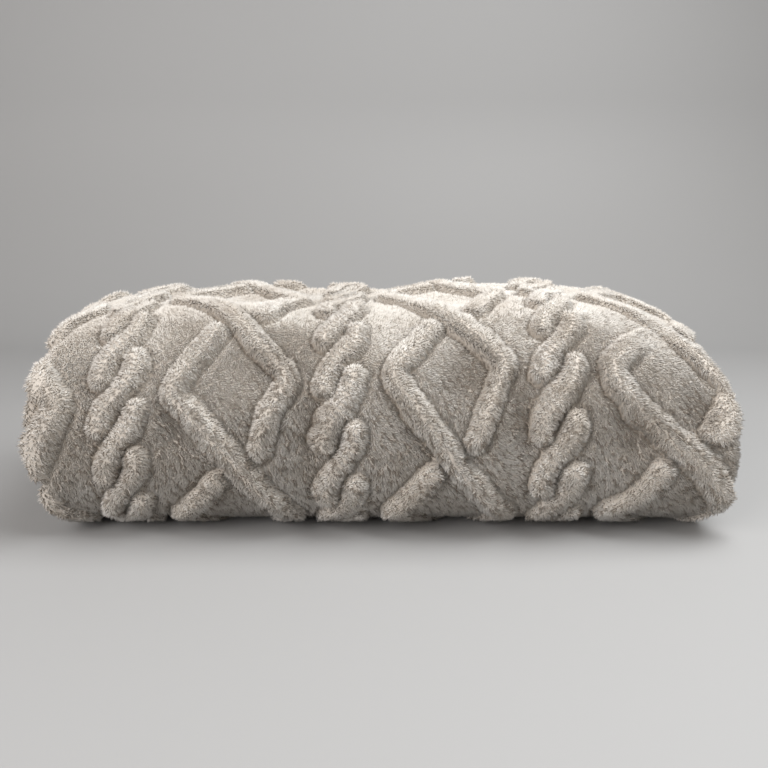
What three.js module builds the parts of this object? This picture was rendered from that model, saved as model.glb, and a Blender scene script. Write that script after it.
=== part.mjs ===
// A plush throw with a raised cable and diamond pattern, folded into a low bundle.
// One cloth of 1.7 by 1.3 m is folded in thirds along its length, doubled across its width,
// and rolled over twice, so that eighteen layers lie on each other and one layer wraps the front.
// Millimetres, +Z up. The origin is on the surface under the middle of the bundle.
// +X runs along the bundle and -Y is its round front.

import * as THREE from 'three';

// Cloth
const THROW_LENGTH = 1700;
const THROW_WIDTH = 1300;
const CLOTH_THICKNESS = 9.6;
const LAYER_PITCH = 10.6;
const PLUSH_COLOUR = 0xe1d8cc;
const PLUSH_ROUGHNESS = 0.95;

// Bundle
const BUNDLE_LENGTH = 583;
const LOWER_FRONT_RADIUS = 79;
const UPPER_FRONT_RADIUS = 90;
const TOP_FLAT = 113;
const BOTTOM_FLAT = 118;
const UPPER_TAIL = 102;

// One strip is the cloth folded in thirds, and a pack is two strips
const STRIP_LAYERS = 3;
const STRIP_THICKNESS = STRIP_LAYERS * LAYER_PITCH;
const PACK_THICKNESS = 2 * STRIP_THICKNESS;
const BUNDLE_HEIGHT = 3 * PACK_THICKNESS;
const HALF_STRIP = STRIP_THICKNESS / 2;
const HALF_CLOTH = CLOTH_THICKNESS / 2;

// Pattern heights and widths, on the cloth laid flat
const RIDGE_HEIGHT = 8;
const RIDGE_SHOULDER = 9;
const CABLE_HALF_WIDTH = 12;
const CABLE_SWING = 13;
const CABLE_HALF_BEAN = 30;
const LATTICE_HALF_WIDTH = 13;
const LATTICE_STEP = 134;

// Each cable column: its place along the bundle, the spacing of its beans, and where the beans start
const CABLES = [
  { centre: -225, spacing: 44, start: 7 },
  { centre: -37, spacing: 46.7, start: -17 },
  { centre: 153, spacing: 46.7, start: -25 },
];

// Each diamond column, halfway between two cables: its place and how far it is shifted down the cloth
const LATTICES = [
  { centre: -319, shift: 20 },
  { centre: -131, shift: 10 },
  { centre: 58, shift: 0 },
  { centre: 247, shift: -3 },
];

// One bent ridge of the diamonds, from its upper short arm to its lower one
const LATTICE_RIDGE = [
  { across: -15, down: -98 },
  { across: -54, down: -50 },
  { across: 53, down: 85 },
  { across: 25, down: 144 },
];

// How the soft bundle settles along its length: the height kept at the front, how much that share
// grows for each metre to the back, the lean to the back, the bulge along the bundle, and the share
// of the height where the bulge is greatest
const SETTLING = [
  { x: -291, height: 0.945, rise: 0.16, lean: 0.06, swell: -12, crest: 0.6 },
  { x: -225, height: 1.0, rise: 0.16, lean: 0.04, swell: 0, crest: 0.6 },
  { x: 0, height: 1.0, rise: 0.22, lean: 0.036, swell: 0, crest: 0.5 },
  { x: 215, height: 0.985, rise: 0.24, lean: 0.045, swell: 0, crest: 0.45 },
  { x: 291, height: 0.865, rise: 0.2, lean: 0.09, swell: 18, crest: 0.45 },
];
const SWELL_REACH = 0.36;

// Where the cloth is pulled out of shape: middle and reach of the pull, and how far it shifts the pattern
const PULLS = [
  { x: -185, down: -40, wide: 35, long: 50, shiftX: 0, shiftDown: 6 },
  { x: -90, down: -20, wide: 45, long: 60, shiftX: -6, shiftDown: -10 },
  { x: -190, down: -175, wide: 50, long: 50, shiftX: -14, shiftDown: 0 },
  { x: 110, down: -40, wide: 45, long: 60, shiftX: -5, shiftDown: -8 },
  { x: 10, down: -185, wide: 50, long: 50, shiftX: -7, shiftDown: -20 },
  { x: 275, down: 0, wide: 35, long: 45, shiftX: 0, shiftDown: -18 },
  { x: 215, down: 55, wide: 40, long: 35, shiftX: 9, shiftDown: 0 },
];

// Where the pattern is pressed flat: middle and reach, on the pulled cloth
const WORN = { x: 232, down: -95, wide: 22, long: 26 };

// Steps of the mesh
const FINE_STEP = 11.8;
const FINE_TURN_STEPS = 6;
const PLAIN_TURN_STEPS = 4;
const SAME_PLACE = 1e-6;

const HALF_TURN = Math.PI;
const QUARTER_TURN = Math.PI / 2;

// A value that rises smoothly from 0 at one limit to 1 at the other
function smooth(value, from, to) {
  return THREE.MathUtils.smoothstep(value, from, to);
}

// Settling at a place along the bundle, straight between the rows of its table
function settlingAt(x) {
  const last = SETTLING.length - 1;
  let row = 0;
  while (row < last - 1 && x > SETTLING[row + 1].x) {
    row += 1;
  }
  const a = SETTLING[row];
  const b = SETTLING[row + 1];
  const share = THREE.MathUtils.clamp((x - a.x) / (b.x - a.x), 0, 1);
  const between = (name) => THREE.MathUtils.lerp(a[name], b[name], share);
  return {
    height: between('height'),
    rise: between('rise'),
    lean: between('lean'),
    swell: between('swell'),
    crest: between('crest'),
  };
}

// A point of the unsettled bundle after settling
function settledPoint(x, y, z) {
  const settled = settlingAt(x);
  const away = (z / BUNDLE_HEIGHT - settled.crest) / SWELL_REACH;
  const height = settled.height + settled.rise * y / 1000;
  return new THREE.Vector3(
    x + settled.swell * Math.exp(-away * away),
    y + z * settled.lean,
    Math.max(0, z * height),
  );
}

// Height of a ridge at a distance from its centre line: a flat crown with soft shoulders
function ridgeCrown(distance, halfWidth) {
  return RIDGE_HEIGHT * (1 - smooth(distance, halfWidth - RIDGE_SHOULDER, halfWidth + 1));
}

// Distance in the cloth's plane from a point to a straight stretch between two points
function distanceToStretch(across, down, a, b) {
  const along = b.across - a.across;
  const fall = b.down - a.down;
  const reach = ((across - a.across) * along + (down - a.down) * fall) / (along * along + fall * fall);
  const share = THREE.MathUtils.clamp(reach, 0, 1);
  return Math.hypot(across - a.across - share * along, down - a.down - share * fall);
}

// Cable: slanting S-shaped beans, half of each lying beside half of the next
function cableHeight(x, down) {
  let height = 0;
  for (const cable of CABLES) {
    const across = x - cable.centre;
    const nearest = Math.round((down - cable.start) / cable.spacing);
    for (const bean of [nearest - 1, nearest, nearest + 1]) {
      const offset = down - cable.start - bean * cable.spacing;
      const share = THREE.MathUtils.clamp(offset / CABLE_HALF_BEAN, -1, 1);
      const middle = -CABLE_SWING * Math.sin(share * QUARTER_TURN);
      const distance = Math.hypot(across - middle, offset - share * CABLE_HALF_BEAN);
      height = Math.max(height, ridgeCrown(distance, CABLE_HALF_WIDTH));
    }
  }
  return height;
}

// Diamonds: bent ridges one above another in each column, open where one stops beside the next
function latticeHeight(x, down) {
  let height = 0;
  for (const lattice of LATTICES) {
    const nearest = Math.round((down - lattice.shift) / LATTICE_STEP);
    for (const ridge of [nearest - 1, nearest, nearest + 1]) {
      const offset = down - lattice.shift - ridge * LATTICE_STEP;
      for (let i = 1; i < LATTICE_RIDGE.length; i += 1) {
        const a = LATTICE_RIDGE[i - 1];
        const b = LATTICE_RIDGE[i];
        const distance = distanceToStretch(x - lattice.centre, offset, a, b);
        height = Math.max(height, ridgeCrown(distance, LATTICE_HALF_WIDTH));
      }
    }
  }
  return height;
}

// Height of the pattern at a place on the pulled cloth
function patternHeight(x, down) {
  let freeX = x;
  let freeDown = down;
  for (const pull of PULLS) {
    const away = ((x - pull.x) / pull.wide) ** 2 + ((down - pull.down) / pull.long) ** 2;
    freeX -= pull.shiftX * Math.exp(-away);
    freeDown -= pull.shiftDown * Math.exp(-away);
  }
  const fromWorn = ((freeX - WORN.x) / WORN.wide) ** 2 + ((freeDown - WORN.down) / WORN.long) ** 2;
  const height = Math.max(cableHeight(freeX, freeDown), latticeHeight(freeX, freeDown));
  return height * (1 - Math.exp(-fromWorn));
}

// A fold drawn from the side, as straight runs and turns (a left turn is positive).
// It gives one station for each step: its point, heading and length so far.
function traceFold(start, heading, pieces) {
  const stations = [];
  const point = start.clone();
  let angle = heading;
  let length = 0;
  const mark = (zone) => stations.push({ point: point.clone(), angle, length, zone });
  mark(pieces[0].zone);
  for (const piece of pieces) {
    const turn = piece.turn ?? 0;
    const stretch = turn === 0 ? piece.run : Math.abs(turn) * piece.radius;
    const chord = turn === 0 ? stretch : 2 * piece.radius * Math.sin(Math.abs(turn) / piece.steps / 2);
    for (let i = 0; i < piece.steps; i += 1) {
      const half = turn / piece.steps / 2;
      const move = turn === 0 ? stretch / piece.steps : chord;
      point.add(new THREE.Vector2(Math.cos(angle + half) * move, Math.sin(angle + half) * move));
      angle += 2 * half;
      length += stretch / piece.steps;
      mark(piece.zone);
    }
  }
  return stations;
}

// Steps that follow a length at the fine spacing
function fineSteps(length) {
  return Math.max(1, Math.round(length / FINE_STEP));
}

// Fold in thirds along the throw's length, seen from the end of the strip: x along the bundle,
// y across the layers. The middle third lies outermost and wraps both ends. Each station also gets
// its place along the outside face laid flat, which runs on round both turns.
function foldInThirds(fine) {
  const smallTurn = LAYER_PITCH / 2;
  const bigTurn = LAYER_PITCH;
  const leftEnd = -BUNDLE_LENGTH / 2 + smallTurn + HALF_CLOTH;
  const rightEnd = BUNDLE_LENGTH / 2 - bigTurn - HALF_CLOTH;
  const middle = rightEnd - leftEnd;
  const third = (THROW_LENGTH - middle - HALF_TURN * (smallTurn + bigTurn)) / 2;
  const turnSteps = fine ? FINE_TURN_STEPS : PLAIN_TURN_STEPS;
  const places = SETTLING.slice(1, -1).map((row) => row.x);
  const stretch = (from, to, zone) => {
    const stops = places.filter((x) => x > Math.min(from, to) && x < Math.max(from, to));
    const ordered = from < to ? stops : stops.reverse();
    const all = [from, ...ordered, to];
    return all.slice(1).map((x, i) => ({ run: Math.abs(x - all[i]), steps: 1, zone }));
  };
  const middleRuns = fine
    ? [{ run: middle, steps: fineSteps(middle), zone: 'middle' }]
    : stretch(leftEnd, rightEnd, 'middle');
  const stations = traceFold(new THREE.Vector2(leftEnd + third, 0), Math.PI, [
    ...stretch(leftEnd + third, leftEnd, 'inner third'),
    { turn: -HALF_TURN, radius: smallTurn, steps: turnSteps, zone: 'left turn' },
    ...middleRuns,
    { turn: -HALF_TURN, radius: bigTurn, steps: turnSteps, zone: 'right turn' },
    ...stretch(rightEnd, rightEnd - third, 'outer third'),
  ]);
  const level = stations.find((station) => station.zone === 'middle');
  return stations.map((station) => ({
    ...station,
    flatX: level.point.x + station.length - level.length - station.angle * HALF_CLOTH,
  }));
}

// Path of the doubled and rolled strip, seen from the left end: x to the back, y up.
// It starts at the hem inside the bundle, passes under and round the front, and doubles back
// at the top of the back.
function rollOver() {
  const backRadius = PACK_THICKNESS - HALF_STRIP;
  const lower = LOWER_FRONT_RADIUS - HALF_STRIP;
  const upper = UPPER_FRONT_RADIUS - HALF_STRIP;
  const rise = BUNDLE_HEIGHT - LOWER_FRONT_RADIUS - UPPER_FRONT_RADIUS;
  const innerLower = lower - STRIP_THICKNESS;
  const innerUpper = upper - STRIP_THICKNESS;
  const turns = HALF_TURN * (backRadius + 2 * HALF_STRIP)
    + QUARTER_TURN * (lower + upper + innerLower + innerUpper);
  const used = turns + 2 * (rise + TOP_FLAT + BOTTOM_FLAT);
  const lowerTail = THROW_WIDTH - used - UPPER_TAIL;
  const start = new THREE.Vector2(
    LOWER_FRONT_RADIUS + BOTTOM_FLAT - UPPER_TAIL,
    2 * PACK_THICKNESS - HALF_STRIP,
  );
  const wrap = (radius) => fineSteps(QUARTER_TURN * (radius + HALF_STRIP));
  return traceFold(start, 0, [
    { run: UPPER_TAIL, steps: 1, zone: 'plain' },
    { turn: -HALF_TURN, radius: backRadius, steps: 12, zone: 'raised' },
    { run: BOTTOM_FLAT, steps: 2, zone: 'plain' },
    { turn: -QUARTER_TURN, radius: lower, steps: wrap(lower), zone: 'raised' },
    { run: rise, steps: 2, zone: 'raised' },
    { turn: -QUARTER_TURN, radius: upper, steps: wrap(upper), zone: 'raised' },
    { run: TOP_FLAT, steps: fineSteps(TOP_FLAT), zone: 'raised' },
    { turn: -HALF_TURN, radius: HALF_STRIP, steps: 6, zone: 'raised' },
    { run: TOP_FLAT, steps: 1, zone: 'plain' },
    { turn: QUARTER_TURN, radius: innerUpper, steps: 4, zone: 'plain' },
    { run: rise, steps: 1, zone: 'plain' },
    { turn: QUARTER_TURN, radius: innerLower, steps: 4, zone: 'plain' },
    { run: BOTTOM_FLAT, steps: 1, zone: 'plain' },
    { turn: HALF_TURN, radius: HALF_STRIP, steps: 5, zone: 'plain' },
    { run: lowerTail, steps: 1, zone: 'plain' },
  ]);
}

// Length round the outside of the roll at each station, measured down from where the upper front
// bend meets the short upright, so that it is negative on the top
function outsideLengths(stations) {
  const lengths = [0];
  let zero = 0;
  for (let i = 1; i < stations.length; i += 1) {
    const a = stations[i - 1];
    const b = stations[i];
    lengths.push(lengths[i - 1] + (b.length - a.length) + (a.angle - b.angle) * HALF_STRIP);
    const facesFront = Math.abs(b.angle + 1.5 * HALF_TURN) < 0.01;
    if (facesFront) {
      zero = lengths[i];
    }
  }
  return lengths.map((length) => zero - length);
}

// A point of the cloth: across the strip's section, then out along the roll, then settled
function clothPoint(section, side, station, raise) {
  const turned = section.angle + QUARTER_TURN;
  const x = section.point.x + Math.cos(turned) * (side + raise);
  const layer = section.point.y + Math.sin(turned) * (side + raise);
  const out = station.angle + QUARTER_TURN;
  const y = station.point.x + Math.cos(out) * layer;
  const z = station.point.y + Math.sin(out) * layer - (LAYER_PITCH - CLOTH_THICKNESS) / 2;
  return settledPoint(x, y, z);
}

// How far the pattern stands up: all of it in the open, and none of it where the bundle lies on it
function raisedShare(station, section) {
  if (!['left turn', 'middle', 'right turn'].includes(section.zone)) {
    return 0;
  }
  const facing = Math.sin(station.angle + QUARTER_TURN);
  const outermost = Math.sin(section.angle + QUARTER_TURN);
  return (1 - smooth(-facing, 0.55, 0.98)) * smooth(outermost, -0.2, 0.4);
}

// Two rows of points joined by triangles, stepping along whichever row is behind. Where they are
// level, the faces' common edge follows the ridges, so that it joins the two points most alike in height.
function zipRows(a, b, faces) {
  let i = 0;
  let j = 0;
  const level = (p, q) => Math.abs(p.at - q.at) < SAME_PLACE;
  const differ = (p, q) => Math.abs(p.raise - q.raise);
  while (i < a.length - 1 || j < b.length - 1) {
    const bothGoOn = i < a.length - 1 && j < b.length - 1;
    const square = bothGoOn && level(a[i], b[j]) && level(a[i + 1], b[j + 1]);
    const stepA = square
      ? differ(a[i + 1], b[j]) <= differ(a[i], b[j + 1])
      : j >= b.length - 1 || (bothGoOn && a[i + 1].at <= b[j + 1].at);
    if (stepA) {
      faces.push(a[i].index, b[j].index, a[i + 1].index);
      i += 1;
    } else {
      faces.push(a[i].index, b[j].index, b[j + 1].index);
      j += 1;
    }
  }
}

// The whole cloth as one closed mesh: a row of outer and inner points at each station of the roll
function foldedCloth() {
  const plainSection = foldInThirds(false);
  const fineSection = foldInThirds(true);
  const stations = rollOver();
  const outside = outsideLengths(stations);
  const points = [];
  const faces = [];
  const addRow = (sections, side, station, down) => sections.map((section) => {
    const share = side > 0 && station.zone === 'raised' ? raisedShare(station, section) : 0;
    const raise = share > 0 ? share * patternHeight(section.flatX, down) : 0;
    points.push(clothPoint(section, side, station, raise));
    return { index: points.length - 1, at: section.length, raise };
  });
  const rows = stations.map((station, i) => {
    const outerSection = station.zone === 'raised' ? fineSection : plainSection;
    return {
      outer: addRow(outerSection, HALF_CLOTH, station, outside[i]),
      inner: addRow(plainSection, -HALF_CLOTH, station, outside[i]),
    };
  });
  const first = rows[0];
  const last = rows[rows.length - 1];
  for (let i = 1; i < rows.length; i += 1) {
    const a = rows[i - 1];
    const b = rows[i];
    zipRows(b.outer, a.outer, faces);
    zipRows(a.inner, b.inner, faces);
    zipRows([a.inner[0], b.inner[0]], [a.outer[0], b.outer[0]], faces);
    zipRows([a.outer.at(-1), b.outer.at(-1)], [a.inner.at(-1), b.inner.at(-1)], faces);
  }
  zipRows(first.outer, first.inner, faces);
  zipRows(last.inner, last.outer, faces);
  const geometry = new THREE.BufferGeometry().setFromPoints(points);
  geometry.setIndex(faces);
  return geometry;
}

// The bundle is centred over the origin
function centred(geometry) {
  geometry.computeBoundingBox();
  const middle = geometry.boundingBox.getCenter(new THREE.Vector3());
  geometry.translate(-middle.x, -middle.y, -geometry.boundingBox.min.z);
  return geometry;
}

const plush = new THREE.MeshStandardMaterial({
  color: PLUSH_COLOUR,
  roughness: PLUSH_ROUGHNESS,
  metalness: 0,
});

const cloth = new THREE.Mesh(centred(foldedCloth()), plush);
cloth.name = 'throw_cloth';

const folded = new THREE.Group();
folded.add(cloth);

export default folded;
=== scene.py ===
"""A plush throw with raised cables and diamonds, folded into a low bundle.

The cloth is one closed sheet. A section, the cloth folded in thirds along its length, is carried
along a roll, the strip doubled and rolled over twice. The raised pattern follows the outside of the
outermost layer. The pile is short pointed tufts rooted on that surface, clumped and leaning.

Metres and radians, +Z up, -Y is the round front. In the names, u is a length along the section, v is
a length along the roll, x is a place along the bundle, and down is a place round the outside of the
bundle, counted downwards from where the upper front bend starts.
"""

import logging
import math
from dataclasses import dataclass, field
from enum import Enum, IntEnum

import bpy
import numpy as np
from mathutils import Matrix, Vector


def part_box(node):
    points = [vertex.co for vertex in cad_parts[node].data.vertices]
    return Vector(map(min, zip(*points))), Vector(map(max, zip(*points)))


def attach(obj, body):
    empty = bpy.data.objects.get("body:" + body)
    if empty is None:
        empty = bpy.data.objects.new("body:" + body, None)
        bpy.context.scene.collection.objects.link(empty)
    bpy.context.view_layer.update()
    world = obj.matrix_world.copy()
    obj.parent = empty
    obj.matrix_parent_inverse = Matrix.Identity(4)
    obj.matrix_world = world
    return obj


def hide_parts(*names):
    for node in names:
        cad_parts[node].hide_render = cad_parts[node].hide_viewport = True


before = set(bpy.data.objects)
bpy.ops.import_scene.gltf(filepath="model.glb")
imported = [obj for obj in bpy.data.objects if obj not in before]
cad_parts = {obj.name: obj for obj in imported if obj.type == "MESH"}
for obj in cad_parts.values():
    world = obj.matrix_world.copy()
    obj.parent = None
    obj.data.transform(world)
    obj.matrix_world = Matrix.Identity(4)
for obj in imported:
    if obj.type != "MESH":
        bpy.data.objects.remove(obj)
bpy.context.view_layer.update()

QUARTER_TURN = math.pi / 2
HALF_TURN = math.pi
FULL_TURN = 2 * math.pi
STRIP_LAYERS = 3
PACK_STRIPS = 2
ROLLED_PACKS = 3
STRAIGHT_CURVE = 1e-9
SHORTEST_VECTOR = 1e-12
SPIKE_ALONG = (0.0, 0.0, 0.0, 1.0)
SPIKE_FACES = ((0, 1, 3), (1, 2, 3), (2, 0, 3), (0, 2, 1))
Array = np.ndarray
Colour = tuple[float, float, float, float]
Place = tuple[float, float, float]
Link = tuple[bpy.types.NodeSocket, bpy.types.NodeSocket]
log = logging.getLogger("throw")


class Side(Enum):
    """The two faces of the cloth, as the sign of their offset from its middle."""

    OUTER = 1
    INNER = -1


class SectionLeg(IntEnum):
    """The legs of the section in order. Each starts at the section's end of that number."""

    FIRST_THIRD = 0
    LEFT_TURN = 1
    SHOWN_THIRD = 2
    RIGHT_TURN = 3
    LAST_THIRD = 4


class RollLeg(IntEnum):
    """The legs of the roll, the outer turn first. Each starts at the roll's end of that number."""

    UPPER_TAIL = 0
    BACK_TURN = 1
    BOTTOM = 2
    LOWER_FRONT = 3
    FRONT_RISE = 4
    UPPER_FRONT = 5
    TOP = 6
    BACK_FOLD = 7
    INNER_TOP = 8
    INNER_UPPER_FRONT = 9
    INNER_RISE = 10
    INNER_LOWER_FRONT = 11
    INNER_BOTTOM = 12
    INNER_BACK_FOLD = 13
    INNER_TAIL = 14
    END = 15


def smooth_step(value: Array, low: float, high: float) -> Array:
    """Rise from 0 at low to 1 at high along 3t^2 - 2t^3.

    Args:
        value: The numbers to ease.
        low: Where the rise starts.
        high: Where it ends.

    Returns:
        The eased numbers, from 0 to 1.
    """
    t = np.clip((value - low) / (high - low), 0.0, 1.0)
    return t * t * (3.0 - 2.0 * t)


def unit(vectors: Array) -> Array:
    """The same directions at length one."""
    return vectors / np.maximum(np.linalg.norm(vectors, axis=-1, keepdims=True), SHORTEST_VECTOR)


@dataclass(frozen=True)
class Ripple:
    """Seeded smooth noise in a plane: random values on a grid, eased between the grid's points.

    Attributes:
        seed: Seed of the random values.
        cell: Side of a cell of the grid.
        swing: Greatest value, up or down.
        size: Cells along the grid before it repeats.
    """

    seed: int
    cell: float
    swing: float
    size: int = 64

    def at(self, x: Array, down: Array) -> Array:
        """Value at each place: the four corners of its cell, blended by the eased place in the cell.

        Args:
            x: Places along the bundle.
            down: Places round the outside.

        Returns:
            Values from -swing to swing.
        """
        grid = np.random.default_rng(self.seed).uniform(-1.0, 1.0, (self.size, self.size))
        across, along = x / self.cell, down / self.cell
        i, j = np.floor(across).astype(int), np.floor(along).astype(int)
        s, t = smooth_step(across - i, 0.0, 1.0), smooth_step(along - j, 0.0, 1.0)
        i0, i1, j0, j1 = i % self.size, (i + 1) % self.size, j % self.size, (j + 1) % self.size
        low = grid[i0, j0] * (1 - s) + grid[i1, j0] * s
        high = grid[i0, j1] * (1 - s) + grid[i1, j1] * s
        return self.swing * (low * (1 - t) + high * t)


def rippled(ripples: tuple[Ripple, ...], x: Array, down: Array, start: Array | float = 0.0) -> Array:
    """Start plus the values of some ripples at each place.

    Args:
        ripples: The ripples that are added up.
        x: Places along the bundle.
        down: Places round the outside.
        start: What they are added to.

    Returns:
        The sums.
    """
    return sum((ripple.at(x, down) for ripple in ripples), start)


@dataclass(frozen=True)
class Leg:
    """One straight run, or one round turn, of a line.

    Attributes:
        length: Its length.
        turn: How far it turns, in radians, positive to the left.
    """

    length: float
    turn: float = 0.0

    @staticmethod
    def bend(turn: float, radius: float) -> "Leg":
        """A turn of that radius."""
        return Leg(abs(turn) * radius, turn)


class Line:
    """A plane line of runs and turns, worked out for a whole array of lengths along it."""

    def __init__(self, start: tuple[float, float], heading: float, legs: list[Leg]) -> None:
        """Adds up the legs.

        Args:
            start: First point.
            heading: First direction, in radians.
            legs: The runs and turns in order.
        """
        self.ends = np.concatenate([[0.0], np.cumsum([leg.length for leg in legs])])
        self.headings = heading + np.concatenate([[0.0], np.cumsum([leg.turn for leg in legs])])
        self.curve = np.array([leg.turn / leg.length for leg in legs])
        self.points = np.zeros((len(legs) + 1, 2))
        self.points[0] = start
        for i in range(len(legs)):
            self.points[i + 1] = self._along(np.array([i]), np.array([legs[i].length]))[0]

    def _along(self, leg: Array, t: Array) -> Array:
        """Point a length t into a leg: straight on, or round the leg's circle.

        Args:
            leg: Numbers of the legs.
            t: Lengths from the start of each leg.

        Returns:
            The points, two numbers each.
        """
        curve, heading = self.curve[leg], self.headings[leg]
        bent = np.abs(curve) > STRAIGHT_CURVE
        safe = np.where(bent, curve, 1.0)
        angle = heading + curve * t
        x = np.where(bent, (np.sin(angle) - np.sin(heading)) / safe, t * np.cos(heading))
        y = np.where(bent, (np.cos(heading) - np.cos(angle)) / safe, t * np.sin(heading))
        return self.points[leg] + np.stack([x, y], -1)

    def at(self, length: Array) -> tuple[Array, Array]:
        """Points and headings at lengths along the line.

        Args:
            length: Lengths from the start.

        Returns:
            The points, two numbers each, and the headings in radians.
        """
        leg = np.clip(np.searchsorted(self.ends, length, "right") - 1, 0, len(self.curve) - 1)
        t = length - self.ends[leg]
        return self._along(leg, t), self.headings[leg] + self.curve[leg] * t

    def stops(self, spacings: tuple[float, ...]) -> Array:
        """Lengths for mesh rows: each leg cut evenly, near its own spacing.

        Args:
            spacings: A spacing for each leg, in order.

        Returns:
            Rising lengths from the start to the end of the line.
        """
        parts = []
        for low, high, spacing in zip(self.ends[:-1], self.ends[1:], spacings):
            steps = max(1, round((high - low) / spacing))
            parts.append(np.linspace(low, high, steps, endpoint=False))
        return np.concatenate([*parts, self.ends[-1:]])


@dataclass(frozen=True)
class Cable:
    """A column of slanting beans.

    Attributes:
        centre: Its place along the bundle.
        spacing: Distance from one bean to the next.
        start: Place of one of the beans round the outside.
    """

    centre: float
    spacing: float
    start: float


@dataclass(frozen=True)
class Diamonds:
    """A column of bent ridges.

    Attributes:
        centre: Its place along the bundle.
        shift: Place of one of the ridges round the outside.
    """

    centre: float
    shift: float


@dataclass(frozen=True)
class RaisedPattern:
    """The raised cables and diamonds over the ground of the plush.

    Attributes:
        height: Height of a ridge over the ground.
        steep_shoulder: Width of the side of a ridge where the pile hangs over.
        soft_shoulder: Width of its other side.
        steep_side: Direction of the steep side, across and down.
        foot: How far outside the edge a side ends.
        dome: How much lower the sides of the top are than its middle, as a share of the height.
        dip: Depth of the furrow beside a ridge.
        groove_place: Distance of the furrow's middle outside the edge.
        groove_reach: Half width of the furrow.
        soft_groove: Share of the painted groove shade that is left on the soft side.
        drift_x: Ripples that shift the pattern along the bundle.
        drift_down: Ripples that shift it down.
        uneven_edge: Ripples of the edges.
        uneven_height: Ripple of the height, as a share.
        cables: The columns of beans.
        diamonds: The columns of bent ridges.
        bean_half_width: Half width of a bean.
        bean_half_length: Half its length down the cloth.
        bean_swing: How far its ends lie to the side.
        bean_points: Points on its middle line.
        ridge_half_width: Half width of a bent ridge.
        ridge_spacing: Distance down the cloth from one bent ridge to the next.
        ridge_corners: Corners of its middle line, each across and down.
        corner_radius: Radius of the middle line at a corner.
        point_spacing: Distance between the points on it.
    """

    height: float = 0.0088
    steep_shoulder: float = 0.0036
    soft_shoulder: float = 0.0062
    steep_side: tuple[float, float] = (-0.7, 0.7)
    foot: float = 0.0008
    dome: float = 0.14
    dip: float = 0.0020
    groove_place: float = 0.0018
    groove_reach: float = 0.0027
    soft_groove: float = 0.35
    drift_x: tuple[Ripple, ...] = (Ripple(11, 0.035, 0.0020), Ripple(16, 0.013, 0.0015))
    drift_down: tuple[Ripple, ...] = (Ripple(12, 0.035, 0.0020), Ripple(17, 0.013, 0.0015))
    uneven_edge: tuple[Ripple, ...] = (Ripple(13, 0.016, 0.0011), Ripple(15, 0.006, 0.0005))
    uneven_height: Ripple = Ripple(14, 0.026, 0.12)
    cables: tuple[Cable, ...] = (
        Cable(-0.225, 0.044, 0.007),
        Cable(-0.037, 0.0467, -0.017),
        Cable(0.153, 0.0467, -0.025),
    )
    diamonds: tuple[Diamonds, ...] = (
        Diamonds(-0.319, 0.020),
        Diamonds(-0.131, 0.010),
        Diamonds(0.058, 0.0),
        Diamonds(0.247, -0.003),
    )
    bean_half_width: float = 0.0104
    bean_half_length: float = 0.030
    bean_swing: float = 0.013
    bean_points: int = 15
    ridge_half_width: float = 0.0116
    ridge_spacing: float = 0.134
    ridge_corners: tuple[tuple[float, float], ...] = (
        (-0.015, -0.098),
        (-0.054, -0.050),
        (0.053, 0.085),
        (0.025, 0.144),
    )
    corner_radius: float = 0.016
    point_spacing: float = 0.003

    def steepness(self, outward: Array) -> Array:
        """1 on the side of a ridge that the pile hangs over, down to the left, and 0 on the other."""
        return 0.5 + 0.5 * (outward @ np.array(self.steep_side))

    def crown(self, edge: Array, steepness: Array) -> Array:
        """Height of a ridge across its edge.

        The top is slightly domed, height times 1 - dome * (1 + edge / half width)^2. The side falls
        from it over the shoulder, and the ground dips beside it.

        Args:
            edge: Distances outside the edge, negative inside.
            steepness: 1 on the steep side, 0 on the soft side.

        Returns:
            Heights over the ground.
        """
        shoulder = self.soft_shoulder + (self.steep_shoulder - self.soft_shoulder) * steepness
        domed = 1.0 - self.dome * np.clip(1.0 + edge / self.ridge_half_width, 0.0, 1.0) ** 2
        side = smooth_step((edge + shoulder) / (shoulder + self.foot), 0.0, 1.0)
        return self.height * domed * (1.0 - side) - self.dip * self.groove(edge)

    def groove(self, edge: Array) -> Array:
        """How near a place is to the furrow's middle: a bell, 1 there."""
        return np.exp(-(((edge - self.groove_place) / self.groove_reach) ** 2))

    def bean_line(self) -> Array:
        """Middle line of one bean: an S, -swing * sin(pi t / 2) across for t from -1 to 1 down.

        Returns:
            The line's points, across and down.
        """
        t = np.linspace(-1.0, 1.0, self.bean_points)
        across = -self.bean_swing * np.sin(QUARTER_TURN * t)
        return np.stack([across, self.bean_half_length * t], -1)

    def ridge_line(self) -> Array:
        """Middle line of one bent ridge: straight between its corners, and round at them.

        Returns:
            The line's points, across and down.
        """
        corners = np.array(self.ridge_corners)
        steps = np.diff(corners, axis=0)
        headings = np.unwrap(np.arctan2(steps[:, 1], steps[:, 0]))
        turns = np.diff(headings)
        cut = self.corner_radius * np.tan(np.abs(turns) / 2)
        runs = np.linalg.norm(steps, axis=1)
        runs[:-1] -= cut
        runs[1:] -= cut
        legs = [Leg(runs[0])]
        for turn, run in zip(turns, runs[1:]):
            legs += [Leg.bend(turn, self.corner_radius), Leg(run)]
        line = Line(tuple(corners[0]), headings[0], legs)
        return line.at(line.stops((self.point_spacing,) * len(legs)))[0]

    @staticmethod
    def way_from(across: Array, down: Array, line: Array) -> Array:
        """Way to each place from the nearest point of a middle line.

        Args:
            across: Places across the column.
            down: Places down the column.
            line: The middle line's points.

        Returns:
            Ways, across and down.
        """
        gap, nearest = np.full(across.shape, np.inf), np.zeros(across.shape, int)
        for i, (x, y) in enumerate(line):
            square = (across - x) ** 2 + (down - y) ** 2
            nearest = np.where(square < gap, i, nearest)
            gap = np.minimum(gap, square)
        return np.stack([across, down], -1) - line[nearest]

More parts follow.
